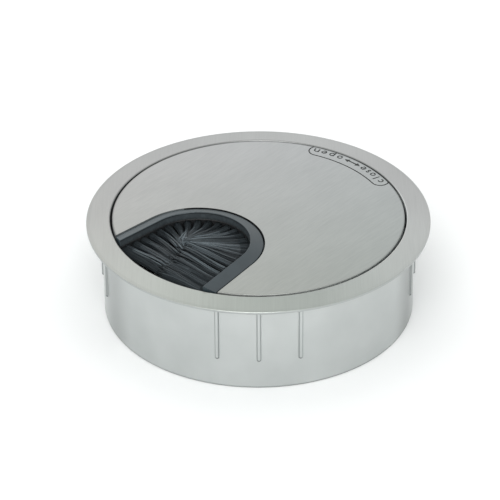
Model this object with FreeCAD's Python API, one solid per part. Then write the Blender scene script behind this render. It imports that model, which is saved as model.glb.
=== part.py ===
import FreeCAD, Part
import math
import os

from FreeCAD import Vector, Placement, Rotation

# Brush cable grommet for a round desk hole of 80 mm.
# Frame: origin at the centre of the sleeve's bottom rim, +Z up, lid on top.
# Millimetres and degrees throughout. Azimuths are counter-clockwise from +X.

# ---- overall ---------------------------------------------------------------
LID_TOP = 25.8            # height of the flush top plane
FLANGE_R = 43.8           # flange outside radius
FLANGE_BOT = 24.35        # face that sits on the desk
FLANGE_EDGE_TOP = 25.05   # the flange's top falls this low at its rim
SLEEVE_R = 39.8           # sleeve outside at its parallel lower land, for an 80 mm hole
LAND_TOP = 7.6            # above the land the casting has a little draft
SLEEVE_TOP_R = 39.88
BORE_R = 37.8             # sleeve inside, below the seat
RECESS_R = 37.72          # recess that the lid turns in
SEAT_TOP = 19.6           # ledge that carries the lid assembly
SEAT_BOT = 17.6
SEAT_R = 35.6

# ---- crush ribs on the sleeve ---------------------------------------------
RIB_GROUPS = (0.0, 90.0, 180.0, 270.0)
RIB_PITCH = 15.0
RIB_R = 0.58              # round rods sunk a little more than half into the wall
RIB_SINK = 0.03
RIB_BOT = 7.95

# ---- bayonet ---------------------------------------------------------------
LUG_AZ = (40.0, 150.0, 290.0)
LUG_HALF = 5.0
TURN = 30.0               # closed to open
NOTCH_HALF = 6.5
STOP_GAP = 0.4            # degrees between a lug and its stop
STOP_WIDE = 2.6
LUG_TOP = 17.5
LUG_BOT = 15.4
LUG_R = 37.3

# ---- lid -------------------------------------------------------------------
LID_R = 37.22
LID_T = 1.6
LID_EDGE = 0.12           # edge break on the top
LID_BOT = LID_TOP - LID_T
LID_SCREW_R = 27.0
LID_SCREW_AZ = (25.0, 95.0, 158.0, 292.0)

# ---- U-shaped notch, measured on the lid's cut edge ------------------------
NOTCH_AXIS = 229.92       # azimuth that the mouth of the U faces
NOTCH_C = 20.14           # arc centre, along that axis from the lid's centre
NOTCH_OFF = -3.19         # and sideways from it
NOTCH_RAD = 17.07
NOTCH_TAPER = 5.84        # each side opens this much towards the rim

# ---- carrier, brush strip and clamp, as offsets inwards from the cut edge --
GAP_N = 0.42              # lid to collar
COLLAR_IN = 3.72          # collar inner face
COLLAR_OUT_Z = LID_TOP - 0.19
COLLAR_IN_Z = LID_TOP + 1.0    # the collar's top climbs towards the brush
WALL_OUT = -0.6
GROOVE_N = 1.6
GROOVE_TOP = 24.7
WEB_TOP = 21.0
CARRIER_R = 37.2
BRIDGE_R = 35.3
INNER_R = 35.2            # everything below the seat level stays inside this
STRIP_IN = 3.6
STRIP_OUT = 1.64
CLAMP_OUT = -5.2
CLAMP_IN = 3.5
CLAMP_T = 1.2
TUFT_Z = 23.3
TUFT_R = 1.03
TUFT_TIP_R = 0.24
TUFT_LEN = 9.3
TUFT_IN_STRIP = 1.35
TUFT_RISE = 5.0           # the tufts climb towards the middle
TUFT_PITCH = 2.75
TUFT_LEFT_U = 10.0
TUFT_RIGHT_U = 13.0

# ---- legend ----------------------------------------------------------------
LEG_R = 35.6
LEG_HALF = 2.25
LEG_A0 = 27.6
LEG_A1 = 63.9
LEG_W = 0.36
LEG_DEEP = 0.2
STROKE = 0.36
TEXT_R = 35.85


def cyl(r, z0, z1, x=0.0, y=0.0):
    return Part.makeCylinder(r, z1 - z0, Vector(x, y, z0))


def ring(r0, r1, z0, z1):
    return cyl(r1, z0, z1).cut(cyl(r0, z0 - 1, z1 + 1))


def polar(r, az, z=0.0):
    a = math.radians(az)
    return Vector(r * math.cos(a), r * math.sin(a), z)


def round_wire(pts, to3):
    """Closed wire through (a, b, radius) corners, each rounded by its radius."""
    n = len(pts)
    edges = []
    starts = []
    ends = []
    mids = []
    for i in range(n):
        p = pts[i]
        a = pts[i - 1]
        b = pts[(i + 1) % n]
        r = p[2] if len(p) > 2 else 0.0
        if r <= 0:
            starts.append((p[0], p[1]))
            ends.append((p[0], p[1]))
            mids.append(None)
            continue
        va = (a[0] - p[0], a[1] - p[1])
        vb = (b[0] - p[0], b[1] - p[1])
        la = math.hypot(*va)
        lb = math.hypot(*vb)
        va = (va[0] / la, va[1] / la)
        vb = (vb[0] / lb, vb[1] / lb)
        half = 0.5 * math.acos(max(-1, min(1, va[0] * vb[0] + va[1] * vb[1])))
        t = r / math.tan(half)
        bis = (va[0] + vb[0], va[1] + vb[1])
        lbis = math.hypot(*bis)
        d = r / math.sin(half)
        m = (p[0] + bis[0] / lbis * (d - r), p[1] + bis[1] / lbis * (d - r))
        starts.append((p[0] + va[0] * t, p[1] + va[1] * t))
        ends.append((p[0] + vb[0] * t, p[1] + vb[1] * t))
        mids.append(m)
    for i in range(n):
        if mids[i] is not None:
            edges.append(Part.Arc(to3(*starts[i]), to3(*mids[i]), to3(*ends[i])).toShape())
        j = (i + 1) % n
        p, q = to3(*ends[i]), to3(*starts[j])
        if p.distanceToPoint(q) > 1e-6:
            edges.append(Part.LineSegment(p, q).toShape())
    return Part.Wire(edges)


def revolved(pts, a0=0.0, sweep=360.0):
    """Section of (radius, z, rounding) corners turned about Z."""
    face = Part.Face(round_wire(pts, lambda r, z: Vector(r, 0, z)))
    s = face.revolve(Vector(0, 0, 0), Vector(0, 0, 1), sweep)
    if a0:
        s.rotate(Vector(0, 0, 0), Vector(0, 0, 1), a0)
    return s


# ---- notch frame: u runs from the arc centre out to the mouth, v across -----
_ax = math.radians(NOTCH_AXIS)
U_DIR = Vector(math.cos(_ax), math.sin(_ax), 0)
V_DIR = Vector(-math.sin(_ax), math.cos(_ax), 0)
ARC_C = U_DIR * NOTCH_C + V_DIR * NOTCH_OFF
TO_ROW = Placement(ARC_C, Rotation(Vector(0, 0, 1), NOTCH_AXIS))
_t = math.radians(NOTCH_TAPER)


def placed(shape):
    s = shape.copy()
    s.Placement = TO_ROW.multiply(s.Placement)
    return s


def u_prism(n, z0, z1, reach=60.0):
    """The U-shaped space inside the cut edge, n inwards of it."""
    r = NOTCH_RAD - n
    tr = (-r * math.sin(_t), r * math.cos(_t))
    far = (tr[0] + reach * math.cos(_t), tr[1] + reach * math.sin(_t))
    p = [Vector(far[0], far[1], z0), Vector(tr[0], tr[1], z0), Vector(-r, 0, z0),
         Vector(tr[0], -tr[1], z0), Vector(far[0], -far[1], z0)]
    w = Part.Wire([Part.LineSegment(p[0], p[1]).toShape(),
                   Part.Arc(p[1], p[2], p[3]).toShape(),
                   Part.LineSegment(p[3], p[4]).toShape(),
                   Part.LineSegment(p[4], p[0]).toShape()])
    return placed(Part.Face(w).extrude(Vector(0, 0, z1 - z0)))


def u_sweep(pts, reach=40.0):
    """Section of (n, z, rounding) corners run round the U."""
    def at(sign):
        def to3(n, z):
            r = NOTCH_RAD - n
            return Vector(-r * math.sin(_t), sign * r * math.cos(_t), z)
        return to3
    right = Part.Face(round_wire(pts, at(1)))
    left = Part.Face(round_wire(pts, at(-1)))
    a = right.extrude(Vector(math.cos(_t), math.sin(_t), 0) * reach)
    b = left.extrude(Vector(math.cos(_t), -math.sin(_t), 0) * reach)
    arc = right.revolve(Vector(0, 0, 0), Vector(0, 0, 1), 180.0 - 2 * NOTCH_TAPER)
    return placed(arc.fuse([a, b]).removeSplitter())


def on_path(n, s):
    """Point and inward direction at signed arc length s from the U's crown, n inwards.
    s > 0 is the right-hand side looking out of the mouth's left, v > 0."""
    r = NOTCH_RAD - n
    half = math.radians(90.0 - NOTCH_TAPER)
    sg = 1.0 if s >= 0 else -1.0
    a = abs(s)
    if a <= r * half:
        th = math.pi - a / r
        p = (r * math.cos(th), sg * r * math.sin(th))
        d = (-math.cos(th), -sg * math.sin(th))
    else:
        e = a - r * half
        p = (-r * math.sin(_t) + e * math.cos(_t), sg * (r * math.cos(_t) + e * math.sin(_t)))
        d = (math.sin(_t), -sg * math.cos(_t))
    P = ARC_C + U_DIR * p[0] + V_DIR * p[1]
    D = U_DIR * d[0] + V_DIR * d[1]
    return P, D


def side_s(n, u):
    """Arc length on the path at which a side reaches u."""
    r = NOTCH_RAD - n
    return r * math.radians(90.0 - NOTCH_TAPER) + (u + r * math.sin(_t)) / math.cos(_t)


# ---- screws ------------------------------------------------------------------
def pan_screw(x, y, z_seat, shaft_r, shaft_len, head_r, head_h):
    """Pan-head screw driven upwards; its head hangs below z_seat."""
    head = Part.makeCylinder(head_r, head_h, Vector(x, y, z_seat - head_h))
    low = [e for e in head.Edges if e.BoundBox.ZMax < z_seat - head_h + 1e-3 and e.Closed]
    head = head.makeFillet(head_h * 0.45, low)
    shaft = Part.makeCylinder(shaft_r, shaft_len - 0.5, Vector(x, y, z_seat - 0.05))
    tip = Part.makeCone(shaft_r, shaft_r * 0.4, 0.55, Vector(x, y, z_seat - 0.05 + shaft_len - 0.5))
    s = head.fuse([shaft, tip])
    arm = head_r * 1.15
    for w, l in ((0.5, arm), (arm, 0.5)):
        s = s.cut(Part.makeBox(w, l, head_h * 0.5, Vector(x - w / 2, y - l / 2, z_seat - head_h - 0.01)))
    return s.removeSplitter()


RET_S = []
for sgn in (-1, 1):
    RET_S.append(sgn * (NOTCH_RAD + 3.1) * math.radians(38.0))
    RET_S.append(sgn * side_s(-3.1, 1.6))
RET_PTS = [on_path(-3.1, s)[0] for s in RET_S]
LID_PTS = [polar(LID_SCREW_R, a) for a in LID_SCREW_AZ]


# ---- housing: flange, sleeve, seat, ribs, bayonet, one casting ---------------
housing = revolved([
    (38.1, 0.0, 0.0), (SLEEVE_R, 0.0, 0.35), (SLEEVE_R, LAND_TOP), (SLEEVE_TOP_R, FLANGE_BOT, 0.3),
    (FLANGE_R, FLANGE_BOT, 0.15), (FLANGE_R, FLANGE_EDGE_TOP, 0.2),
    (RECESS_R, LID_TOP, 0.35), (RECESS_R, SEAT_TOP, 0.0), (SEAT_R, SEAT_TOP, 0.2),
    (SEAT_R, SEAT_BOT, 0.3), (BORE_R, SEAT_BOT, 0.0), (BORE_R, 0.3, 0.0)], 33.0)
for az in LUG_AZ:
    a = az + TURN
    wedge = revolved([(SEAT_R - 1.5, SEAT_BOT - 1.0), (BORE_R, SEAT_BOT - 1.0),
                      (BORE_R, SEAT_TOP + 0.0), (SEAT_R - 1.5, SEAT_TOP + 0.0)],
                     a - NOTCH_HALF, 2 * NOTCH_HALF)
    housing = housing.cut(wedge)
for az in LUG_AZ:
    for a0 in (az - LUG_HALF - STOP_GAP - STOP_WIDE, az + TURN + LUG_HALF + STOP_GAP):
        stop = revolved([(35.9, LUG_BOT - 0.2, 0.3), (BORE_R + 0.3, LUG_BOT - 0.2),
                         (BORE_R + 0.3, SEAT_BOT + 0.3), (35.9, SEAT_BOT + 0.3)], a0, STOP_WIDE)
        housing = housing.fuse(stop)
ribs = []
for g in RIB_GROUPS:
    for k in (-1, 0, 1):
        c = polar(SLEEVE_R - RIB_SINK, g + k * RIB_PITCH)
        rod = cyl(RIB_R, RIB_BOT + RIB_R, FLANGE_BOT + 0.2, c.x, c.y)
        ball = Part.makeSphere(RIB_R, Vector(c.x, c.y, RIB_BOT + RIB_R))
        ribs.append(rod.fuse(ball).removeSplitter())
housing = housing.fuse(ribs).removeSplitter()

# ---- lid plate -----------------------------------------------------------------
lid = revolved([(0.0, LID_BOT), (LID_R - 0.15, LID_BOT), (LID_R, LID_BOT + 0.15),
                (LID_R, LID_TOP - LID_EDGE), (LID_R - LID_EDGE, LID_TOP), (0.0, LID_TOP)])
lid = lid.cut(u_prism(0.0, LID_BOT - 1, LID_TOP + 1))
for p in LID_PTS:
    lid = lid.fuse(cyl(3.0, WEB_TOP, LID_BOT + 0.2, p.x, p.y))
for p in LID_PTS:
    lid = lid.cut(cyl(1.2, WEB_TOP - 1, LID_BOT + 0.25, p.x, p.y))
lid = lid.removeSplitter()


def sector(r0, r1, a0, a1, z0, z1):
    return revolved([(r0, z0), (r1, z0), (r1, z1), (r0, z1)], a0, a1 - a0)


def slot_solid(half, z0, z1):
    s = sector(LEG_R - half, LEG_R + half, LEG_A0, LEG_A1, z0, z1)
    for a in (LEG_A0, LEG_A1):
        p = polar(LEG_R, a)
        s = s.fuse(cyl(half, z0, z1, p.x, p.y))
    return s.removeSplitter()


zc0, zc1 = LID_TOP - LEG_DEEP, LID_TOP + 0.5
cuts = [slot_solid(LEG_HALF + LEG_W / 2, zc0, zc1).cut(slot_solid(LEG_HALF - LEG_W / 2, zc0 - 1, zc1 + 1))]


def arc_stroke(cx, cy, r, a0, a1, w=STROKE):
    full = a1 - a0 >= 359.9
    o = Part.makeCylinder(r + w / 2, zc1 - zc0, Vector(cx, cy, zc0), Vector(0, 0, 1), 360.0 if full else a1 - a0)
    if r - w / 2 > 0.02:
        o = o.cut(Part.makeCylinder(r - w / 2, zc1 - zc0 + 2, Vector(cx, cy, zc0 - 1)))
    if not full:
        o.rotate(Vector(cx, cy, 0), Vector(0, 0, 1), a0)
    return o


def bar(x0, y0, x1, y1, w=STROKE):
    l = math.hypot(x1 - x0, y1 - y0)
    b = Part.makeBox(l, w, zc1 - zc0, Vector(0, -w / 2, zc0))
    b.rotate(Vector(0, 0, 0), Vector(0, 0, 1), math.degrees(math.atan2(y1 - y0, x1 - x0)))
    b.translate(Vector(x0, y0, 0))
    return b


def prism(pts):
    w = Part.makePolygon([Vector(x, y, zc0) for x, y in pts] + [Vector(pts[0][0], pts[0][1], zc0)])
    return Part.Face(w).extrude(Vector(0, 0, zc1 - zc0))


G = 0.6
GLYPH = {
    "c": lambda: [arc_stroke(0, 0, G, 45, 315)],
    "l": lambda: [bar(0, -0.75, 0, 1.35)],
    "o": lambda: [arc_stroke(0, 0, G, 0, 360)],
    "s": lambda: [arc_stroke(0, 0.3, 0.3, 10, 271), arc_stroke(0, -0.3, 0.3, -170, 91)],
    "e": lambda: [arc_stroke(0, 0, G, 0, 315), bar(-0.6, 0, 0.75, 0, 0.26)],
    "p": lambda: [arc_stroke(0, 0, G, 0, 360), bar(-0.6, -1.35, -0.6, 0.7)],
    "n": lambda: [arc_stroke(0, 0, G, 0, 180), bar(-0.6, -0.75, -0.6, 0.7), bar(0.6, -0.75, 0.6, 0.02)],
}
WORDS = ((("c", 27.7), ("l", 30.6), ("o", 33.7), ("s", 36.7), ("e", 40.0)),
         (("o", 53.2), ("p", 57.1), ("e", 60.9), ("n", 64.4)))


def at_az(shape, az, r=TEXT_R):
    s = shape.copy()
    p = polar(r, az)
    s.Placement = Placement(p, Rotation(Vector(0, 0, 1), az + 90.0)).multiply(s.Placement)
    return s


for word in WORDS:
    for ch, az in word:
        g = GLYPH[ch]()
        s = g[0] if len(g) == 1 else g[0].fuse(g[1:])
        cuts.append(at_az(s, az))
# double arrow between the words
ARROW_R = 35.75
for az, sg in ((43.2, -1), (49.4, 1)):
    cuts.append(at_az(prism([(0.75 * sg, 0), (-0.7 * sg, 0.74), (-0.7 * sg, -0.74)]), az, ARROW_R))
cuts.append(sector(ARROW_R - 0.22, ARROW_R + 0.22, 44.0, 48.6, zc0, zc1))
for c in cuts:
    lid = lid.cut(c)

# ---- brush carrier: collar, wall, web, bosses and lugs, one moulding -----------
inside = cyl(CARRIER_R, 0, 60)
wall = u_sweep([
    (WALL_OUT, SEAT_TOP), (WALL_OUT, LID_BOT - 0.1, 0.2), (GAP_N, LID_BOT - 0.1),
    (GAP_N, COLLAR_OUT_Z, 0.18), (COLLAR_IN, COLLAR_IN_Z, 0.18), (COLLAR_IN, GROOVE_TOP, 0.15),
    (GROOVE_N, GROOVE_TOP), (GROOVE_N, SEAT_TOP)]).common(inside)
web = cyl(CARRIER_R, SEAT_TOP, WEB_TOP).cut(u_prism(GROOVE_N, SEAT_TOP - 1, WEB_TOP + 1))
bridge = ring(BRIDGE_R, CARRIER_R, SEAT_TOP, WEB_TOP)
rim = ring(35.7, CARRIER_R, WEB_TOP - 0.2, LID_BOT).cut(u_prism(GAP_N, WEB_TOP - 0.19, LID_BOT + 1))
carrier = web.fuse([bridge, rim, wall])
for p in RET_PTS:
    carrier = carrier.fuse(cyl(2.6, WEB_TOP - 0.2, 23.7, p.x, p.y))
# stiffening ribs under the web
for az, r0, r1 in ((60.0, 9.0, 34.0), (345.0, 9.0, 34.0), (126.0, 12.0, 34.0)):
    b = Part.makeBox(r1 - r0, 1.2, 2.0, Vector(r0, -0.6, SEAT_TOP - 1.9))
    b.rotate(Vector(0, 0, 0), Vector(0, 0, 1), az)
    carrier = carrier.fuse(b)
for az in LUG_AZ:
    lug = revolved([(33.6, SEAT_TOP + 0.2), (33.6, LUG_BOT, 0.3), (36.5, LUG_BOT), (LUG_R, LUG_BOT + 0.8),
                    (LUG_R, LUG_TOP, 0.15), (INNER_R, LUG_TOP), (INNER_R, SEAT_TOP + 0.2)],
                   az - LUG_HALF, 2 * LUG_HALF)
    carrier = carrier.fuse(lug)
for p in RET_PTS:
    carrier = carrier.cut(cyl(0.96, SEAT_TOP - 1, 23.2, p.x, p.y))
for p in LID_PTS:
    carrier = carrier.cut(cyl(1.45, SEAT_TOP - 3, WEB_TOP + 0.01, p.x, p.y))
carrier = carrier.removeSplitter()

# ---- brush strip, its clamp, and the tufts --------------------------------------
core = cyl(INNER_R, 0, 60)
strip_core = core.fuse(cyl(CARRIER_R - 0.3, WEB_TOP + 0.1, 60)).removeSplitter()
strip = u_sweep([(STRIP_OUT, SEAT_TOP), (STRIP_OUT, GROOVE_TOP - 0.04, 0.15),
                 (STRIP_IN, GROOVE_TOP - 0.04, 0.25), (STRIP_IN, SEAT_TOP)]).common(strip_core)
s_left = -side_s(STRIP_IN, TUFT_LEFT_U)
s_right = side_s(STRIP_IN, TUFT_RIGHT_U)
n_tuft = int(round((s_right - s_left) / TUFT_PITCH)) + 1
tufts = []
holes = []
for i in range(n_tuft):
    s = s_left + (s_right - s_left) * i / (n_tuft - 1)
    P, D = on_path(STRIP_IN, s)
    P = Vector(P.x, P.y, TUFT_Z)
    root = Part.makeCylinder(TUFT_R, TUFT_IN_STRIP, P - D * TUFT_IN_STRIP, D)
    rise = math.radians(TUFT_RISE)
    up = Vector(D.x * math.cos(rise), D.y * math.cos(rise), math.sin(rise))
    cone = Part.makeCone(TUFT_R - 0.03, TUFT_TIP_R, TUFT_LEN, P - D * 0.25, up)
    tufts.append(root.fuse(cone).removeSplitter())
    holes.append(Part.makeCylinder(TUFT_R + 0.01, TUFT_IN_STRIP + 1.0, P - D * TUFT_IN_STRIP, D))
for h in holes:
    strip = strip.cut(h)
strip = strip.removeSplitter()

clamp = u_sweep([(CLAMP_OUT, SEAT_TOP - CLAMP_T, 0.2), (CLAMP_OUT, SEAT_TOP),
                 (CLAMP_IN, SEAT_TOP), (CLAMP_IN, SEAT_TOP - CLAMP_T, 0.2)]).common(core)
for p in RET_PTS:
    clamp = clamp.cut(cyl(1.15, SEAT_TOP - 3, SEAT_TOP + 1, p.x, p.y))

ret_screws = Part.makeCompound([pan_screw(p.x, p.y, SEAT_TOP - CLAMP_T, 0.95, 4.6, 1.8, 1.1) for p in RET_PTS])
lid_screws = Part.makeCompound([pan_screw(p.x, p.y, SEAT_TOP, 1.19, 4.5, 2.4, 1.4) for p in LID_PTS])

NODES = {
    "housing": housing,
    "lid_plate": lid,
    "brush_carrier": carrier,
    "brush_backing": strip,
    "brush_bristles": Part.makeCompound(tufts),
    "brush_retainer": clamp,
    "retainer_screws": ret_screws,
    "lid_screws": lid_screws,
}

os.makedirs("parts", exist_ok=True)
for name, shape in NODES.items():
    sol = shape.Solids
    shape = sol[0] if len(sol) == 1 else Part.makeCompound(sol)
    ok = all(s.isValid() and s.isClosed() for s in sol)
    bb = shape.BoundBox
    print("%-16s solids %2d valid %s vol %9.2f  x %.2f..%.2f y %.2f..%.2f z %.2f..%.2f" % (
        name, len(sol), ok, sum(s.Volume for s in sol), bb.XMin, bb.XMax, bb.YMin, bb.YMax, bb.ZMin, bb.ZMax))
    shape.exportStep("parts/%s.step" % name)
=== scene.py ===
import math

import bpy
import numpy as np
from mathutils import Matrix, Vector


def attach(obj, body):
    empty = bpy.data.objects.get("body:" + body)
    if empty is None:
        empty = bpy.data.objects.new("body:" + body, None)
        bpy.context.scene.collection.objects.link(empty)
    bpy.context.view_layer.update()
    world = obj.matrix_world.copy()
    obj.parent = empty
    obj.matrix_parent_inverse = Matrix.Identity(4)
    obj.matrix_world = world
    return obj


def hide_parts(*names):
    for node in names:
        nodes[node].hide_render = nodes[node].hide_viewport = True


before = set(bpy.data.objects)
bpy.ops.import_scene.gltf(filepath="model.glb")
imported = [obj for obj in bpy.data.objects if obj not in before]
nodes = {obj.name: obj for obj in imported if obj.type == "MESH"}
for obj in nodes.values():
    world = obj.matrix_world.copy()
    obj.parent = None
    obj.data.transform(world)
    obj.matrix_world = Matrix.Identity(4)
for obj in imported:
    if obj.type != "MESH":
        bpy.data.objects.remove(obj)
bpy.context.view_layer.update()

MM = 0.001
LID_TOP = 25.8 * MM


# ---- camera ------------------------------------------------------------------
def place_camera():
    """Long-lens view from 31.7 degrees above the lid, on the -Y side."""
    width_px, focal_px = 500.0, 2994.0
    dist = 0.76174
    elev, roll = math.radians(31.70), math.radians(0.24)
    back = Vector((0, -math.cos(elev), math.sin(elev)))
    right = Vector((1, 0, 0))
    up = right.cross(-back)
    base = Matrix((right, up, back)).transposed()
    aim = Vector((8.36, 35.08, -focal_px)).normalized()
    turn = Vector((0, 0, -1)).rotation_difference(aim).to_matrix()
    rot = base @ Matrix.Rotation(roll, 3, "Z").transposed() @ turn.transposed()
    cam = bpy.data.objects.new("camera", bpy.data.cameras.new("camera"))
    cam.data.sensor_width = 36.0
    cam.data.lens = focal_px * 36.0 / width_px
    cam.data.clip_start, cam.data.clip_end = 0.05, 50.0
    cam.matrix_world = Matrix.Translation(Vector((0, 0, LID_TOP)) + back * dist) @ rot.to_4x4()
    bpy.context.scene.collection.objects.link(cam)
    bpy.context.scene.camera = cam


place_camera()


# ---- light -------------------------------------------------------------------
def area_light(name, where, look_at, size, power, color=(1, 1, 1), size_y=None):
    data = bpy.data.lights.new(name, "AREA")
    data.energy, data.color, data.size = power, color, size
    if size_y:
        data.shape, data.size_y = "RECTANGLE", size_y
    o = bpy.data.objects.new(name, data)
    o.location = where
    o.rotation_mode = "QUATERNION"
    o.rotation_quaternion = (Vector(look_at) - Vector(where)).to_track_quat("-Z", "Y")
    bpy.context.scene.collection.objects.link(o)
    return o


def sky_dome(strength, color=(0.985, 1.0, 0.995)):
    """Soft studio surround: an even top, and a low and a middle band with their own strength on each side."""
    world = bpy.data.worlds.new("studio")
    bpy.context.scene.world = world
    world.use_nodes = True
    nt = world.node_tree
    nt.nodes.clear()

    def calc(op, a, b=0.0, clamp=False):
        n = nt.nodes.new("ShaderNodeMath")
        n.operation, n.use_clamp = op, clamp
        for sock, v in zip(n.inputs, (a, b)):
            if isinstance(v, (int, float)):
                sock.default_value = v
            else:
                nt.links.new(v, sock)
        return n.outputs[0]

    def step(v, a, b):
        n = nt.nodes.new("ShaderNodeMapRange")
        n.interpolation_type = "SMOOTHSTEP"
        nt.links.new(v, n.inputs["Value"])
        n.inputs["From Min"].default_value, n.inputs["From Max"].default_value = a, b
        return n.outputs[0]

    sep = nt.nodes.new("ShaderNodeSeparateXYZ")
    nt.links.new(nt.nodes.new("ShaderNodeTexCoord").outputs["Generated"], sep.inputs[0])
    x, y, z = sep.outputs
    flat = calc("SQRT", calc("ADD", calc("ADD", calc("MULTIPLY", x, x), calc("MULTIPLY", y, y)), 1e-5))
    cx, cy = calc("DIVIDE", x, flat), calc("DIVIDE", y, flat)
    top = step(z, 0.50, 0.80)
    low = calc("SUBTRACT", 1.0, step(z, 0.10, 0.36))
    mid = calc("SUBTRACT", calc("SUBTRACT", 1.0, top), low, clamp=True)
    total = calc("MULTIPLY", top, strength["top"])
    for name, value in (("left", calc("MULTIPLY", cx, -1.0)), ("right", cx), ("front", calc("MULTIPLY", cy, -1.0)), ("back", cy)):
        lobe = calc("POWER", calc("MAXIMUM", value, 0.0), 2.0)
        side = calc("ADD", calc("MULTIPLY", mid, strength["mid_" + name]), calc("MULTIPLY", low, strength["low_" + name]))
        total = calc("ADD", total, calc("MULTIPLY", lobe, side))
    out = nt.nodes.new("ShaderNodeOutputWorld")
    bg = nt.nodes.new("ShaderNodeBackground")
    bg.inputs["Color"].default_value = (*color, 1)
    nt.links.new(total, bg.inputs["Strength"])
    nt.links.new(bg.outputs[0], out.inputs[0])


SKY = {"top": 0.91, "mid_left": 0.93, "mid_right": 0.90, "mid_front": 1.03, "mid_back": 1.02,
       "low_left": 0.74, "low_right": 0.54, "low_front": 1.09, "low_back": 0.92}
PANELS = (
    # name, place, aimed at, size, watts, colour
    ("key", (-0.15, -1.1, 1.0), (0, 0, 0.01), 0.9, 9.0, (1.0, 1.0, 1.0)),
    ("back", (-0.35, 0.55, 0.55), (0, 0, 0.02), 0.35, 0.25, (1.0, 1.0, 1.0)),
    ("front", (0.0, -0.9, 0.25), (0, 0, 0.01), 0.4, 0.86, (1.0, 1.0, 1.0)),
)


def studio():
    scene = bpy.context.scene
    sky_dome(SKY)
    for panel in PANELS:
        area_light(*panel)
    scene.view_settings.view_transform = "Standard"
    scene.view_settings.look = "None"
    scene.view_settings.exposure = 0.0
    scene.view_settings.gamma = 1.0


studio()


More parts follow.
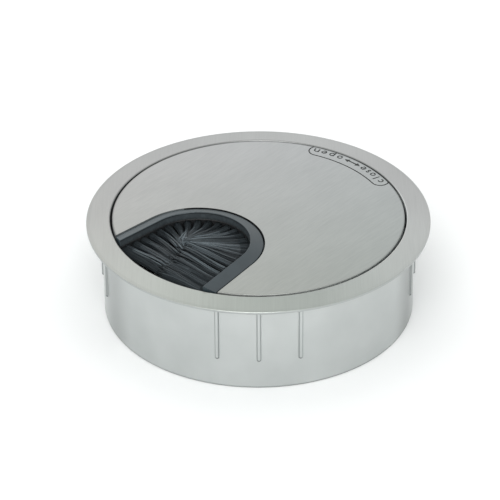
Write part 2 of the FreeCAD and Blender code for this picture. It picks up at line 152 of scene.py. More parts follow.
# ---- material graphs -----------------------------------------------------------
class Graph:
    """A Principled material built up with short calls. Sizes are in millimetres."""

    def __init__(self, name, metallic=0.0, roughness=0.5, color=(0.5, 0.5, 0.5), **sockets):
        self.m = bpy.data.materials.new(name)
        self.m.use_nodes = True
        self.nt = self.m.node_tree
        self.nt.nodes.clear()
        out = self.nt.nodes.new("ShaderNodeOutputMaterial")
        self.bsdf = self.nt.nodes.new("ShaderNodeBsdfPrincipled")
        self.nt.links.new(self.bsdf.outputs[0], out.inputs[0])
        self.bsdf.inputs["Metallic"].default_value = metallic
        self.bsdf.inputs["Roughness"].default_value = roughness
        self.bsdf.inputs["Base Color"].default_value = (*color, 1)
        for k, v in sockets.items():
            self.bsdf.inputs[k.replace("_", " ")].default_value = v
        self._xyz = None
        self._obj = None

    def put(self, socket, value):
        if isinstance(value, (int, float)):
            socket.default_value = value
        elif isinstance(value, tuple):
            socket.default_value = value if len(socket.default_value) == len(value) else (*value, 1)
        else:
            self.nt.links.new(value, socket)

    def node(self, kind, **props):
        n = self.nt.nodes.new(kind)
        for k, v in props.items():
            setattr(n, k, v)
        return n

    def place(self):
        if self._obj is None:
            self._obj = self.node("ShaderNodeTexCoord").outputs["Object"]
        return self._obj

    def xyz(self):
        """x, y and z of the surface in millimetres."""
        if self._xyz is None:
            sep = self.node("ShaderNodeSeparateXYZ")
            self.put(sep.inputs[0], self.mapped(1.0, 1.0, 1.0))
            self._xyz = sep.outputs
        return self._xyz

    def mapped(self, sx, sy, sz, turn=0.0, shift=(0.0, 0.0, 0.0)):
        """Coordinates divided by (sx, sy, sz) mm after a turn about Z of -turn degrees."""
        spin = self.node("ShaderNodeMapping", vector_type="POINT")
        self.put(spin.inputs["Vector"], self.place())
        spin.inputs["Rotation"].default_value = (0, 0, -math.radians(turn))
        size = self.node("ShaderNodeMapping", vector_type="POINT")
        self.put(size.inputs["Vector"], spin.outputs[0])
        size.inputs["Scale"].default_value = (1 / (sx * MM), 1 / (sy * MM), 1 / (sz * MM))
        size.inputs["Location"].default_value = shift
        return size.outputs[0]

    def noise(self, sx, sy=None, sz=None, turn=0.0, detail=3.0, rough=0.5, distort=0.0, shift=(0.0, 0.0, 0.0)):
        sy = sx if sy is None else sy
        sz = sx if sz is None else sz
        n = self.node("ShaderNodeTexNoise")
        self.put(n.inputs["Vector"], self.mapped(sx, sy, sz, turn, shift))
        n.inputs["Scale"].default_value = 1.0
        n.inputs["Detail"].default_value = detail
        n.inputs["Roughness"].default_value = rough
        n.inputs["Distortion"].default_value = distort
        return n.outputs[0]

    def math(self, op, a, b=0.0, c=None, clamp=False):
        n = self.node("ShaderNodeMath", operation=op, use_clamp=clamp)
        self.put(n.inputs[0], a)
        self.put(n.inputs[1], b)
        if c is not None:
            self.put(n.inputs[2], c)
        return n.outputs[0]

    def span(self, value, a0, a1, b0, b1, smooth=False):
        """value from a0..a1 to b0..b1, clamped."""
        n = self.node("ShaderNodeMapRange", clamp=True)
        if smooth:
            n.interpolation_type = "SMOOTHSTEP"
        self.put(n.inputs["Value"], value)
        for k, v in (("From Min", a0), ("From Max", a1), ("To Min", b0), ("To Max", b1)):
            n.inputs[k].default_value = v
        return n.outputs[0]

    def mix(self, fac, a, b, blend="MIX"):
        n = self.node("ShaderNodeMix", data_type="RGBA", blend_type=blend)
        self.put(n.inputs[0], fac)
        self.put(n.inputs[6], a)
        self.put(n.inputs[7], b)
        return n.outputs[2]

    def toned(self, color, factor):
        """color times a factor that may be above 1."""
        n = self.node("ShaderNodeVectorMath", operation="SCALE")
        self.put(n.inputs[0], color)
        self.put(n.inputs["Scale"], factor)
        return n.outputs[0]

    def drift(self, terms):
        """1 plus a slow change: ("plane", x, y) per mm, or (k, phase in degrees, amount) round the axis."""
        x, y = self.xyz()[0], self.xyz()[1]
        total = 1.0
        az = None
        for a, b, c in terms:
            if a == "plane":
                part = self.math("ADD", self.math("MULTIPLY", x, b), self.math("MULTIPLY", y, c))
            else:
                if az is None:
                    az = self.math("ARCTAN2", y, x)
                part = self.math("COSINE", self.math("ADD", self.math("MULTIPLY", az, a), math.radians(-b)))
                part = self.math("MULTIPLY", part, c)
            total = self.math("ADD", part, total)
        return total

    def sector(self, az, full, half):
        """1 within full degrees of azimuth az, smoothly down to 0 at half degrees from it."""
        x, y = self.xyz()[0], self.xyz()[1]
        a = math.radians(az)
        along = self.math("ADD", self.math("MULTIPLY", x, math.cos(a)), self.math("MULTIPLY", y, math.sin(a)))
        across = self.math("ADD", self.math("MULTIPLY", x, -math.sin(a)), self.math("MULTIPLY", y, math.cos(a)))
        off = self.math("ABSOLUTE", self.math("ARCTAN2", across, along))
        return self.span(off, math.radians(full), math.radians(half), 1.0, 0.0, smooth=True)

    def bump(self, height, distance, strength=1.0, normal=None):
        """distance in millimetres."""
        n = self.node("ShaderNodeBump")
        n.inputs["Strength"].default_value = strength
        n.inputs["Distance"].default_value = distance * MM
        self.put(n.inputs["Height"], height)
        if normal is not None:
            self.put(n.inputs["Normal"], normal)
        return n.outputs[0]

    def finish(self, color=None, rough=None, normal=None):
        if color is not None:
            self.put(self.bsdf.inputs["Base Color"], color)
        if rough is not None:
            self.put(self.bsdf.inputs["Roughness"], rough)
        if normal is not None:
            self.put(self.bsdf.inputs["Normal"], normal)
        return self.m


def brushed(name, turn, dark, light, rough=(0.32, 0.40), along=14.0, engraved=False, eased=None, rim=None, drift=(),
            lit_sector=None, width=0.13):
    """Fine straight brushing at turn degrees in plan, with a few longer scratches."""
    g = Graph(name, metallic=1.0, Anisotropic=0.45)
    fine = g.noise(along, width, along, turn, detail=3.0, rough=0.6)
    mid = g.noise(along * 2.2, 0.5, along, turn, detail=2.0, rough=0.5, shift=(7.3, 2.1, 0.0))
    cloud = g.noise(13.0, 9.0, 9.0, turn, detail=2.0, rough=0.45, shift=(3.7, 11.0, 0.0))
    grain = g.math("ADD", g.math("MULTIPLY", fine, 0.72), g.math("MULTIPLY", mid, 0.28))
    tone = g.span(grain, 0.30, 0.70, 0.0, 1.0)
    color = g.mix(tone, dark, light)
    haze = g.span(cloud, 0.3, 0.7, 0.975, 1.015)
    color = g.toned(color, haze)
    if drift:
        # painted light and shade: the tone and tint brighten and darken slowly over the piece
        tint = g.node("ShaderNodeCombineXYZ")
        for i in range(3):
            g.put(tint.inputs[i], g.drift(drift[i]))
        scaled = g.node("ShaderNodeVectorMath", operation="MULTIPLY")
        g.put(scaled.inputs[0], color)
        g.put(scaled.inputs[1], tint.outputs[0])
        color = scaled.outputs[0]
    rgh = g.span(grain, 0.28, 0.72, rough[0], rough[1])
    x, y, z = g.xyz()[0], g.xyz()[1], g.xyz()[2]
    r = g.math("SQRT", g.math("ADD", g.math("MULTIPLY", x, x), g.math("MULTIPLY", y, y)))
    if engraved:
        # the engraving's floor keeps the dull skin that the brushing took off the face
        deep = g.span(z, LID_TOP / MM - 0.12, LID_TOP / MM - 0.05, 1.0, 0.0)
        above = g.span(z, LID_TOP / MM - 0.32, LID_TOP / MM - 0.26, 0.0, 1.0)
        deep = g.math("MULTIPLY", deep, above)
        ring = g.math("MULTIPLY", g.span(r, 33.0, 33.05, 0.0, 1.0), g.span(r, 38.1, 38.15, 1.0, 0.0))
        deep = g.math("MULTIPLY", deep, ring)
        speck = g.noise(0.25, detail=2.0)
        dull = g.mix(speck, (0.11, 0.115, 0.115), (0.18, 0.185, 0.18))
        color = g.mix(deep, color, dull)
        rgh = g.math("ADD", g.math("MULTIPLY", rgh, g.math("SUBTRACT", 1.0, deep)), g.math("MULTIPLY", deep, 0.6))
    if eased:
        # the recess's rounded edge is turned, not brushed
        turned = eased[2]
        # painted highlight: inside the lit sector the eased edge takes a light colour
        if lit_sector:
            turned = g.mix(g.sector(*lit_sector), eased[2], (0.62, 0.63, 0.62))
        color = g.mix(g.span(r, eased[0], eased[1], 1.0, 0.0), color, turned)
    if rim:
        # painted shade: the colour darkens towards the rim
        edge = g.span(r, rim[0], rim[1], 0.0, 1.0 - rim[2], smooth=True)
        # the painted shade is halved inside the lit sector
        if lit_sector:
            edge = g.math("MULTIPLY", edge, g.math("SUBTRACT", 1.0, g.math("MULTIPLY", g.sector(*lit_sector), 0.5)))
        color = g.toned(color, g.math("SUBTRACT", 1.0, edge))
    normal = g.bump(fine, 0.004, 0.6)
    normal = g.bump(mid, 0.005, 0.4, normal)
    # the brushing's direction, turned with the piece
    way = g.node("ShaderNodeVectorTransform", vector_type="VECTOR", convert_from="OBJECT", convert_to="WORLD")
    way.inputs[0].default_value = (math.cos(math.radians(turn)), math.sin(math.radians(turn)), 0.0)
    g.put(g.bsdf.inputs["Tangent"], way.outputs[0])
    return g.finish(color, rgh, normal)


def cast_metal(name, dark, light, rough=(0.36, 0.48), orange_peel=0.5, painted_corner_shade=False, painted_patches=()):
    """Satin-plated die casting: soft orange peel, faint clouding, with painted light and shade in sectors and at the
    ribs and foot.
    """
    g = Graph(name, metallic=1.0)
    peel = g.noise(0.9, detail=3.0, rough=0.55)
    grit = g.noise(0.16, detail=2.0, rough=0.5, shift=(5.0, 1.0, 2.0))
    cloud = g.noise(11.0, detail=3.0, rough=0.5, shift=(1.0, 4.0, 9.0))
    color = g.mix(g.span(cloud, 0.32, 0.68, 0.0, 1.0), dark, light)
    rgh = g.span(g.math("ADD", g.math("MULTIPLY", cloud, 0.6), g.math("MULTIPLY", grit, 0.4)), 0.3, 0.7, rough[0], rough[1])
    for az, full, half, amount in painted_patches:
        # painted light and shade: the tone darkens or lightens in sectors round the axis
        patch = g.math("MULTIPLY", g.sector(az, full, half), amount)
        color = g.toned(color, g.math("SUBTRACT", 1.0, patch))
    if painted_corner_shade:
        # painted shade: darker on the ribs' flanks, at the ribs' lower ends and on the foot's edge, where the flanks
        # and the foot are also rougher
        x, y, z = g.xyz()[0], g.xyz()[1], g.xyz()[2]
        r = g.math("SQRT", g.math("ADD", g.math("MULTIPLY", x, x), g.math("MULTIPLY", y, y)))
        flank = g.math("MULTIPLY", g.span(r, 39.90, 39.96, 0.0, 0.8), g.span(r, 40.14, 40.32, 1.0, 0.0))
        flank = g.math("MULTIPLY", flank, g.span(z, 24.25, 24.30, 1.0, 0.0))
        tip = g.math("MULTIPLY", g.span(r, 39.88, 39.95, 0.0, 1.0), g.span(z, 8.30, 8.70, 1.0, 0.0))
        foot = g.span(z, 0.15, 0.55, 1.0, 0.0)
        painted_shading = g.math("MAXIMUM", flank, foot)
        color = g.mix(g.math("MULTIPLY", painted_shading, 0.75), color, (0.20, 0.22, 0.22))
        color = g.mix(g.math("MULTIPLY", tip, 0.9), color, (0.13, 0.14, 0.14))
        rgh = g.math("ADD", rgh, g.math("MULTIPLY", painted_shading, 0.15))
    normal = g.bump(peel, 0.012 * orange_peel * 2, 0.6)
    normal = g.bump(grit, 0.003, 0.6, normal)
    return g.finish(color, rgh, normal)


def moulded(name, dark, light, rough=(0.32, 0.46), grain=0.22, depth=0.006, ior=1.52, drift=()):
    """Injection-moulded plastic with a fine spark-eroded grain."""
    g = Graph(name, IOR=ior)
    tex = g.noise(grain, detail=3.0, rough=0.6)
    cloud = g.noise(6.0, detail=2.0, rough=0.5, shift=(2.0, 8.0, 1.0))
    color = g.mix(g.span(cloud, 0.3, 0.7, 0.0, 1.0), dark, light)
    if drift:
        # painted light and shade: a slow tone change over the piece
        color = g.toned(color, g.drift(drift))
    rgh = g.span(g.math("ADD", g.math("MULTIPLY", tex, 0.5), g.math("MULTIPLY", cloud, 0.5)), 0.32, 0.68, rough[0], rough[1])
    return g.finish(color, rgh, g.bump(tex, depth, 0.8))


def collar_wall(name):
    """The collar's inner face: painted shade under its lip and towards its foot, scuffed by the tufts in fine upright
    streaks.
    """
    g = Graph(name, IOR=1.52)
    streak = g.noise(0.5, 0.5, 1.3, detail=3.0, rough=0.6)
    cloud = g.noise(2.2, detail=3.0, rough=0.6, shift=(3.0, 1.0, 6.0))
    z = g.xyz()[2]
    tone = g.span(g.math("ADD", g.math("MULTIPLY", streak, 0.55), g.math("MULTIPLY", cloud, 0.45)), 0.36, 0.64, 0.0, 1.0)
    color = g.mix(tone, (0.028, 0.036, 0.041), (0.054, 0.066, 0.073))
    # painted shade: darkest just under the lip, and darker towards the foot
    lip = g.span(z, LID_TOP / MM + 0.30, LID_TOP / MM + 0.72, 1.0, 0.16)
    foot = g.span(z, LID_TOP / MM - 1.15, LID_TOP / MM - 0.4, 0.55, 1.0)
    color = g.toned(color, g.math("MULTIPLY", lip, foot))
    return g.finish(color, g.span(tone, 0.0, 1.0, 0.55, 0.42), g.bump(streak, 0.02, 0.8))


def filament_material(name, level, deep):
    """Black nylon; attributes own (a filament's tone with painted light and shade), along (mm from the strip) and low
    (depth in its tuft, painted darker lower down); deep gives the dim copy that paints shade.
    """
    g = Graph(name, IOR=1.53, Specular_IOR_Level=level, Specular_Tint=(0.86, 0.95, 1.0, 1.0))
    own = g.node("ShaderNodeAttribute", attribute_name="own").outputs["Fac"]
    along = g.node("ShaderNodeAttribute", attribute_name="along").outputs["Fac"]
    low = g.node("ShaderNodeAttribute", attribute_name="low").outputs["Fac"]
    skin = g.noise(0.25, detail=2.0)
    # the dim copy is painted shade for the roots, the lower filaments and the fringe
    if deep:
        base = g.mix(own, (0.022, 0.027, 0.030), (0.053, 0.063, 0.070))
        rgh = g.span(skin, 0.3, 0.7, 0.5, 0.65)
    else:
        # painted shade: lower filaments and the first millimetres from the strip are darker
        lit = g.math("MULTIPLY", own, g.math("SUBTRACT", 1.0, g.math("MULTIPLY", low, 0.8)))
        lit = g.math("MULTIPLY", lit, g.span(along, 0.5, 3.5, 0.45, 1.0, smooth=True))
        base = g.mix(lit, (0.006, 0.008, 0.010), (0.132, 0.162, 0.180))
        rgh = g.math("ADD", g.math("MULTIPLY", own, -0.12), g.span(skin, 0.3, 0.7, 0.30, 0.42))
    return g.finish(base, rgh, g.bump(skin, 0.004, 0.6))


def screw_steel():
    g = Graph("screw_zinc", metallic=1.0)
    a = g.noise(0.5, detail=3.0)
    b = g.noise(2.5, detail=2.0, shift=(4.0, 4.0, 4.0))
    color = g.mix(g.span(b, 0.35, 0.65, 0.0, 1.0), (0.50, 0.51, 0.53), (0.60, 0.60, 0.59))
    rgh = g.span(a, 0.3, 0.7, 0.24, 0.42)
    return g.finish(color, rgh, g.bump(a, 0.006, 0.5))


def floor_material():
    """White paper roll with a painted glow that rises with distance from the part."""
    g = Graph("floor_paper", roughness=0.85, color=(0.86, 0.86, 0.86))
    g.bsdf.inputs["Emission Color"].default_value = (0.985, 1.0, 1.0, 1.0)
    x, y = g.xyz()[0], g.xyz()[1]
    r = g.math("SQRT", g.math("ADD", g.math("MULTIPLY", x, x), g.math("MULTIPLY", y, y)))
    # painted light: the floor glows, none next to the part and more further out
    glow = g.math("ADD", g.span(r, 42.0, 62.0, 0.0, 0.05, smooth=True), g.span(r, 55.0, 150.0, 0.0, 0.08, smooth=True))
    g.put(g.bsdf.inputs["Emission Strength"], glow)
    soft = g.noise(60.0, detail=2.0)
    color = g.mix(g.span(soft, 0.3, 0.7, 0.0, 1.0), (0.885, 0.89, 0.89), (0.895, 0.90, 0.90))
    return g.finish(color, 0.85, None)


# ---- materials on the CAD nodes ---------------------------------------------------
def dress(name, materials, pick=None):
    """Gives a node its materials; pick(centre in mm, normal) returns a face's slot."""
    me = nodes[name].data
    me.materials.clear()
    for m in materials:
        me.materials.append(m)
    index = np.zeros(len(me.polygons), np.int32)
    if pick is not None:
        c = np.zeros(len(me.polygons) * 3, np.float32)
        me.polygons.foreach_get("center", c)
        nrm = np.zeros(len(me.polygons) * 3, np.float32)
        me.polygons.foreach_get("normal", nrm)
        index = pick(c.reshape(-1, 3).astype(float) * 1000.0, nrm.reshape(-1, 3)).astype(np.int32)
    me.polygons.foreach_set("material_index", index)
    me.update()


GRAIN = 49.92
# the U-shaped notch: its axis, arc centre and arc radius on the lid's cut edge
NOTCH_AXIS, NOTCH_C, NOTCH_OFF, NOTCH_RAD = 229.92, 20.14, -3.19, 17.07
TAPER = math.radians(5.84)
_a = math.radians(NOTCH_AXIS)
U_DIR = np.array([math.cos(_a), math.sin(_a)])
V_DIR = np.array([-math.sin(_a), math.cos(_a)])
ARC_C = U_DIR * NOTCH_C + V_DIR * NOTCH_OFF
# the sector of the gap painted lighter as light: its azimuth, and degrees to each side in full and at all
GAP_LIT_SECTOR = (328.0, 38.0, 70.0)
# painted light and shade on the lid: lighter towards the back left, darker towards the front right, and darker towards
# the rim except in the lit sector
lid_face = brushed("lid_brushed", GRAIN, (0.416, 0.428, 0.420), (0.486, 0.495, 0.484), along=4.5, width=0.32, engraved=True,
                   rim=(36.7, 37.1, 0.66), lit_sector=GAP_LIT_SECTOR, drift=((("plane", -0.00144, 0.0024),), (("plane", -0.00078, 0.0021),), (("plane", -0.00062, 0.0030),)))
# painted light and shade round the flange: its face brightens and darkens in sectors
FLANGE_PAINTED_LIGHT = ((1, 17.0, 0.03), (2, 46.0, 0.021), (3, -63.0, 0.04), (4, -118.0, 0.033))
# painted highlight on the eased inner edge in the lit sector, and painted shade towards the outer rim
ring_face = brushed("flange_brushed", 90.0, (0.442, 0.451, 0.440), (0.503, 0.513, 0.500), along=9.0,
                    eased=(37.84, 38.10, (0.27, 0.275, 0.27)), rim=(42.6, 43.3, 0.94), lit_sector=GAP_LIT_SECTOR,
                    drift=(FLANGE_PAINTED_LIGHT,
                           FLANGE_PAINTED_LIGHT + ((1, -75.0, 0.025), (2, -173.0, 0.0144)),
                           FLANGE_PAINTED_LIGHT + ((1, 21.0, 0.0158), (2, -128.0, 0.008))))
# painted shade on the sleeve's left and right sides and a slight painted lift at the front; painted shade on the ribs'
# flanks, their lower ends and the foot
cast = cast_metal("sleeve_satin", (0.492, 0.514, 0.508), (0.541, 0.562, 0.556), painted_corner_shade=True,
                  painted_patches=((340.5, 0.0, 13.0, 0.25), (204.0, 0.0, 14.0, 0.20), (287.0, 3.0, 12.0, -0.035)))
cast_under = cast_metal("lid_underside", (0.40, 0.42, 0.42), (0.48, 0.50, 0.50), (0.42, 0.56), 0.8)
# painted light: the lid's rim is coloured light, so it stands out of the gap's shade
rim_edge_painted_light = cast_metal("lid_rim_edge", (0.78, 0.80, 0.79), (0.84, 0.86, 0.85), (0.38, 0.5), 0.4)
# painted shade: the notch's cut edge is coloured near black
cut_edge_painted_shade = cast_metal("lid_cut_edge", (0.07, 0.075, 0.078), (0.11, 0.115, 0.118), (0.45, 0.6), 0.5)
# painted shade: the recess's wall is coloured dark for the gap, and lightened as painted light in the lit sector
recess_wall_painted_shade = cast_metal("recess_wall_painted_shade", (0.20, 0.21, 0.21), (0.26, 0.27, 0.27), (0.4, 0.5), 0.4,
                         painted_patches=((*GAP_LIT_SECTOR, -2.2),))
rim_side = cast_metal("flange_side", (0.39, 0.41, 0.405), (0.43, 0.45, 0.445), (0.34, 0.44), 0.4)
# painted shade: the collar darkens towards its near right
carrier_plastic = moulded("collar_plastic", (0.029, 0.042, 0.049), (0.038, 0.053, 0.062),
                          drift=(("plane", -0.0092, 0.0077),))
clamp_plastic = moulded("clamp_plastic", (0.030, 0.036, 0.040), (0.040, 0.047, 0.051), grain=0.3)
carrier_wall = collar_wall("collar_wall")
# painted reflection: the notch's edge by the collar takes a tone like the collar it mirrors
notch_edge_reflection = moulded("notch_edge_painted_reflection", (0.12, 0.135, 0.14), (0.15, 0.165, 0.17), (0.4, 0.5))
strip_plastic = moulded("strip_plastic", (0.008, 0.009, 0.010), (0.014, 0.015, 0.016), (0.4, 0.55), 0.3)
zinc = screw_steel()

R_OF = lambda c: np.hypot(c[:, 0], c[:, 1])


def housing_slots(c, n):
    """0 casting, 1 brushed flange, 2 the flange's turned side, 3 the recess's wall in painted shade."""
    top = (c[:, 2] > 24.9) & (R_OF(c) > 37.6) & (n[:, 2] > 0.25)
    side = (R_OF(c) > 43.2) & ~top
    wall = (R_OF(c) > 37.5) & (R_OF(c) < 38.0) & (c[:, 2] > 23.0) & ~top
    return np.where(top, 1, np.where(side, 2, np.where(wall, 3, 0)))


def lid_slots(c, n):
    """0 brushed face, 1 underside, 2 the sawn edge of the notch in painted shade, 3 its side that the collar touches,
    in a painted reflection of the collar, 4 the rim in painted light.
    """
    az = np.degrees(np.arctan2(c[:, 1], c[:, 0]))
    notch = (np.abs(n[:, 2]) < 0.5) & (R_OF(c) < 37.15) & (c[:, 2] > 24.2) & ~((az > 22.0) & (az < 70.0))
    left = (c[:, :2] - ARC_C) @ V_DIR < -13.5
    rim = (np.abs(n[:, 2]) < 0.6) & (R_OF(c) > 37.12) & (c[:, 2] > 24.2)
    return np.where(rim, 4, np.where(notch & left, 3, np.where(notch, 2, np.where(c[:, 2] < 25.3, 1, 0))))


dress("housing", [cast, ring_face, rim_side, recess_wall_painted_shade], housing_slots)
dress("lid_plate", [lid_face, cast_under, cut_edge_painted_shade, notch_edge_reflection, rim_edge_painted_light], lid_slots)
dress("brush_carrier", [carrier_plastic, carrier_wall], lambda c, n: (np.abs(n[:, 2]) < 0.4) & (c[:, 2] > 23.0) & (R_OF(c) < 37.1))
dress("brush_backing", [strip_plastic])
dress("brush_retainer", [clamp_plastic])
dress("retainer_screws", [zinc])
dress("lid_screws", [zinc])


# ---- the brush ---------------------------------------------------------------------
STRIP_IN = 3.6
TUFT_Z = 23.3
TUFT_R = 1.0


def on_path(n, s):
    """(u, v) and inward direction at signed arc length s from the crown, n inwards of the cut edge."""
    r = NOTCH_RAD - n
    half = math.radians(90.0) - TAPER
    sg = 1.0 if s >= 0 else -1.0
    a = abs(s)
    if a <= r * half:
        th = math.pi - a / r
        return np.array([r * math.cos(th), sg * r * math.sin(th)]), np.array([-math.cos(th), -sg * math.sin(th)])
    e = a - r * half
    p = np.array([-r * math.sin(TAPER) + e * math.cos(TAPER), sg * (r * math.cos(TAPER) + e * math.sin(TAPER))])
    return p, np.array([math.sin(TAPER), -sg * math.cos(TAPER)])


def side_s(n, u):
    r = NOTCH_RAD - n
    return r * (math.radians(90.0) - TAPER) + (u + r * math.sin(TAPER)) / math.cos(TAPER)


def seam_v(u):
    """Where the two sides' tips meet."""
    return float(np.interp(u, [0.6, 1.4, 2.6, 5.8, 9.4, 11.8, 15.0], [-4.0, -3.6, -2.5, -1.3, -0.5, -0.1, 0.5]))


def tip_goal(root):
    """The point on the seam that a tuft leans to."""
    u, v = root
    if v < 0:
        t = float(np.interp(u, [-12.0, -8.0, -5.0, -2.2, 0.6, 3.4, 6.0, 9.0, 12.0], [0.8, 1.0, 1.6, 2.6, 5.2, 7.2, 9.2, 11.3, 13.8]))
    else:
        t = max(1.0, u + 0.4)
    return np.array([t, seam_v(t)])


CLUMPS = [(0.0, 0.0)] + [(0.62 * math.cos(a), 0.62 * math.sin(a)) for a in np.arange(6) * math.pi / 3 + 0.4]


def make_brush():
    """Round tufts set in the strip; each is a bundle of clumps whose filaments lean together at the tips."""
    rng = np.random.default_rng(20240817)
    s0, s1 = -side_s(STRIP_IN, 10.0), side_s(STRIP_IN, 13.0)
    n_tuft = 25
    per = 66
    sides, rings = 5, 11
    verts, faces, index = [], [], []
    own, along, low = [], [], []
    ring_angles = np.arange(sides) * 2 * math.pi / sides
    t = np.concatenate(([0.0], np.linspace(0.09, 1, rings - 1)))
    tc = t[:, None]
    tufts = [(s0 + (s1 - s0) * i / (n_tuft - 1), per, 0.0) for i in range(n_tuft)]
    # a thin fringe of loose filaments, coloured dark as painted shade, closes the gap between the last tufts and the
    # mouth
    tufts += [(s0 - 1.1, 48, 1.0), (s0 - 2.0, 48, 1.3), (s1 + 1.1, 48, 1.0)]
    # loose filaments, darkened in part as painted shade, that stand between the straight side's last tufts
    pitch = (s1 - s0) / (n_tuft - 1)
    tufts += [(s1 - pitch * (k + 0.5), 20, 0.55) for k in range(3)]
    for s, count, fringe in tufts:
        root, inward = on_path(STRIP_IN, s)
        tang = np.array([-inward[1], inward[0]])
        goal = tip_goal(root)
        reach = float(np.linalg.norm(goal - root))
        way = (goal - root) / reach
        way_t = np.array([-way[1], way[0]])
        face_back = float(inward @ np.array([-U_DIR[1], -V_DIR[1]]))     # 1 where the far wall stands over the roots
        far = float(np.clip((face_back - 0.66) / 0.28, 0.0, 1.0))
        near_end = float(np.clip(1.0 - (root[0] + 3.0) / 5.0, 0.0, 1.0))
        tuft_len = min(reach + rng.normal(0.1, 0.45), 16.0)
        lean = rng.normal(0, 0.16)
        crest = 24.65 + rng.normal(0, 0.10) - 0.45 * fringe
        flare = rng.uniform(0.92, 1.15) * (1.0 - near_end) + rng.uniform(0.32, 0.50) * near_end
        crest += rng.normal(0, 0.12) * near_end
        # painted light and shade: each side's tufts are lighter or darker by where they stand
        painted_shading = float(np.interp(root[0], [-10.0, -6.0, 0.0, 6.0, 9.0, 12.0], [0.72, 0.74, 0.96, 1.20, 1.08, 0.66]))
        left = float(np.interp(root[0], [-4.0, 2.0, 6.0, 10.0], [1.0, 0.86, 0.84, 0.70]))
        tuft_tone = rng.uniform(0.75, 1.15) * (1.0 - 0.6 * fringe) * (painted_shading if root[1] > 0 else left)
        waist = rng.uniform(0.78, 0.90)
        shade_to = (1.6 + 2.2 * far) * rng.uniform(0.9, 1.1)
        clump = []
        for cx, cz in CLUMPS:
            # painted highlights: some clumps are coloured lighter
            bright = rng.random() < 0.16 + 0.24 * near_end
            clump.append((cx * TUFT_R, cz * TUFT_R, rng.normal(0, 0.14 - 0.04 * near_end), rng.normal(0, 0.09), rng.normal(-0.1, 0.55),
                          rng.uniform(1.15, 1.6) if bright else rng.uniform(0.35, 0.85) * (1.0 - 0.42 * near_end)))
        for j in range(count):
            rr = TUFT_R * 0.92 * math.sqrt((j + 0.5) / count)
            aa = j * 2.399963 + rng.normal(0, 0.12)
            ot, oz = rr * math.cos(aa), rr * math.sin(aa)
            near = min(range(7), key=lambda q: (clump[q][0] - ot) ** 2 + (clump[q][1] - oz) ** 2)
            ct, cz, ct_off, cz_off, c_len, c_tone = clump[near]
            stray = rng.random() < 0.08
            length = max(tuft_len + c_len + rng.normal(-0.1, 0.30) - 0.4 * abs(ot), 9.6)
            pinch = rng.uniform(0.25, 0.5)
            tip_t = ct * flare + ct_off + (ot - ct) * pinch
            tip_z = cz * 0.9 + cz_off + (oz - cz) * pinch
            drift = rng.normal(0, 0.8 if stray else 0.08)
            rise = rng.normal(0, 0.22 if stray else 0.04)
            end = root + way * length + way_t * (tip_t + lean + drift)
            k = length / 3.0
            p0 = np.array([*(root - inward * 0.7 + tang * ot), TUFT_Z + oz])
            p1 = np.array([*(root + inward * k + tang * ot * (2.0 * waist - 1.0)), TUFT_Z + oz * (2.0 * waist - 1.0) + 0.1])
            z1 = min(crest + tip_z + rise, 25.75)
            p3 = np.array([*end, z1])
            p2 = np.array([*(end - way * k - way_t * ((tip_t - ot * 0.85) * 0.45 + drift * 0.6)), z1 + 0.12 + (oz - cz) * 0.25])
            c = ((1 - tc) ** 3) * p0 + 3 * ((1 - tc) ** 2) * tc * p1 + 3 * (1 - tc) * tc * tc * p2 + tc ** 3 * p3
            ph = rng.uniform(0, 6.28)
            c[:, 2] += 0.03 * np.sin(t * rng.uniform(4, 8) + ph) * t
            c[:, :2] += (0.04 * np.sin(t * rng.uniform(4, 9) + ph * 1.7) * t)[:, None] * tang
            rad = 0.108 * rng.uniform(0.92, 1.08)
            xyz = np.empty_like(c)
            xyz[:, :2] = ARC_C + c[:, :1] * U_DIR + c[:, 1:2] * V_DIR
            xyz[:, 2] = c[:, 2]
            # nothing reaches past the lid's own rim
            out = np.hypot(xyz[:, 0], xyz[:, 1])
            xyz[:, :2] *= np.minimum(1.0, 36.9 / out)[:, None]
            d = np.gradient(xyz, axis=0)
            d /= np.linalg.norm(d, axis=1, keepdims=True)
            side = np.cross(d, [0, 0, 1.0])
            side /= np.linalg.norm(side, axis=1, keepdims=True)
            upv = np.cross(side, d)
            base = len(verts)
            # painted shade: filaments lower in the tuft are darker
            depth = float(np.clip((0.62 - oz / TUFT_R) / 1.1, 0.0, 1.0))
            tone = min(1.0, (0.28 - 0.20 * near_end + (0.48 + 0.10 * near_end) * rng.uniform(0, 1)) * c_tone * tuft_tone)
            # painted highlight: a few upper filaments take the full light tone
            if depth < 0.5 and rng.random() < 0.05 + 0.17 * near_end:
                tone = 1.0 - 0.5 * fringe
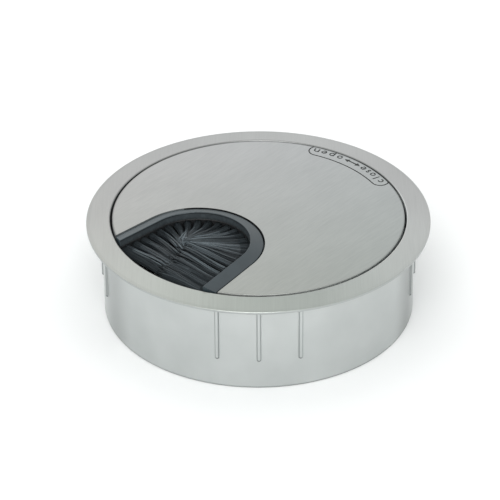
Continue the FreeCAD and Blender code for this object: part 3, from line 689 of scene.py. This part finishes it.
            # painted light along each filament: darker near the root, and the crown tufts lighten towards their tips
            profile = (1.0 - near_end) * np.interp(t, [0.0, 0.2, 0.45, 0.8, 1.0], [0.55, 0.85, 0.95, 0.8, 0.8]) \
                + near_end * np.interp(t, [0.0, 0.3, 0.55, 0.9, 1.0], [0.38, 0.42, 0.55, 1.5, 1.7])
            for q in range(rings):
                r_q = rad * (1.0 if q < rings - 1 else 0.55)
                for an in ring_angles:
                    verts.append((xyz[q] + (side[q] * math.cos(an) + upv[q] * math.sin(an)) * r_q) * MM)
                    own.append(tone * profile[q] * (0.70 + 0.30 * near_end))
                    along.append(t[q] * length - 0.7)
                    low.append(depth)
            # painted shade: the length near the root, deeper filaments and the fringe take the dim copy of the nylon
            dark_to = shade_to + rng.uniform(-0.5, 0.5) + 9.0 * max(0.0, depth - 0.5) + 12.0 * fringe
            for q in range(rings - 1):
                a, b = base + q * sides, base + (q + 1) * sides
                for m in range(sides):
                    n = (m + 1) % sides
                    faces.append((a + m, b + m, b + n, a + n))
                    index.append(1 if 0.5 * (t[q] + t[q + 1]) * length - 0.7 < dark_to else 0)
            faces.append(tuple(base + m for m in range(sides)))
            last = base + (rings - 1) * sides
            faces.append(tuple(last + m for m in reversed(range(sides))))
            index += [1, 0]
    me = bpy.data.meshes.new("bristle_filaments")
    me.from_pydata([tuple(v) for v in verts], [], faces)
    me.polygons.foreach_set("use_smooth", np.ones(len(me.polygons), bool))
    for nm, vals in (("own", own), ("along", along), ("low", low)):
        att = me.attributes.new(nm, "FLOAT", "POINT")
        att.data.foreach_set("value", np.array(vals, np.float32))
    me.materials.append(filament_material("bristle_nylon", 0.5, False))
    me.materials.append(filament_material("bristle_nylon_painted_shade", 0.12, True))
    me.polygons.foreach_set("material_index", np.array(index, np.int32))
    me.update()
    me.validate()
    o = bpy.data.objects.new("bristle_filaments", me)
    bpy.context.scene.collection.objects.link(o)
    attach(o, "lid_assembly")
    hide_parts("brush_bristles")
    return o


make_brush()


# ---- floor -----------------------------------------------------------------------------
def make_floor():
    me = bpy.data.meshes.new("studio_floor")
    n, r = 96, 14.0
    pts = [(r * math.cos(2 * math.pi * k / n), r * math.sin(2 * math.pi * k / n), -0.00002) for k in range(n)]
    me.from_pydata(pts, [], [tuple(range(n))])
    me.materials.append(floor_material())
    o = bpy.data.objects.new("studio_floor", me)
    bpy.context.scene.collection.objects.link(o)


make_floor()
